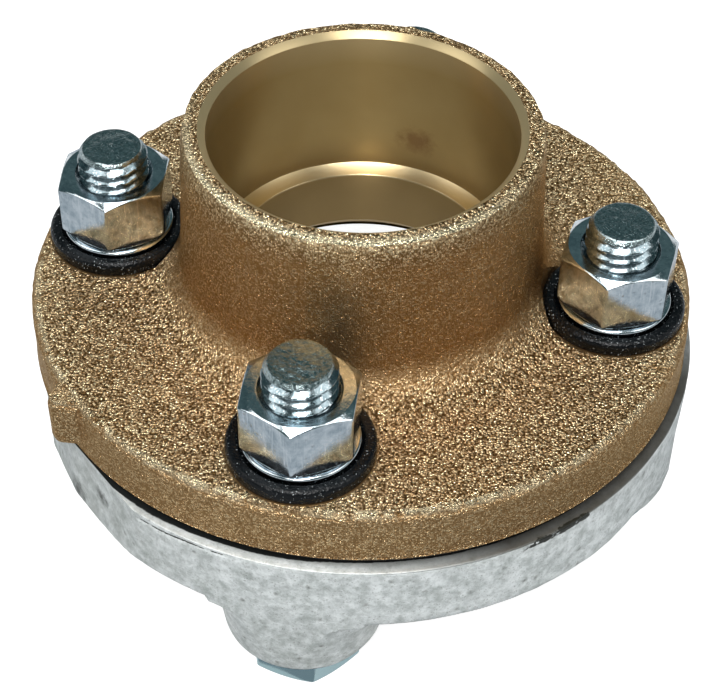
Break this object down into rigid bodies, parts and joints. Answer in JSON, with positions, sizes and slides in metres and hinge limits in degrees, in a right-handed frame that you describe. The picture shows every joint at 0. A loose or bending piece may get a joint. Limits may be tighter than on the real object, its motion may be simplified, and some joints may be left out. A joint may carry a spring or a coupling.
{
  "type": "pipe flange",
  "caption": "Cast bronze solder-cup pipe flange bolted to a galvanised threaded iron flange, with a gasket and black insulating bushings that keep the metals apart.",
  "frame": {"origin": "on the bore axis, in the plane of the bolt heads that the part stands on", "axes": "+Z along the bore axis, towards the mouth of the solder cup; -Y is the pictured front"},
  "size_m": [0.1229, 0.123, 0.0838],
  "materials": {
    "bronze": "sand cast, with a machined cup",
    "iron": "hot-dip galvanised casting",
    "gasket": "matt black",
    "bolt": "bright zinc plate",
    "nut": "bright zinc plate",
    "washer": "bright zinc plate",
    "bushing": "glossy black moulding"
  },
  "bodies": {
    "root": {"bronze_flange": "bronze", "iron_flange": "iron", "gasket": "gasket", "bolt_1": "bolt", "bolt_2": "bolt", "bolt_3": "bolt", "bolt_4": "bolt", "nut_1": "nut", "nut_2": "nut", "nut_3": "nut", "nut_4": "nut", "washer_1": "washer", "washer_2": "washer", "washer_3": "washer", "washer_4": "washer", "bushing_1": "bushing", "bushing_2": "bushing", "bushing_3": "bushing", "bushing_4": "bushing"}
  },
  "joints": []
}
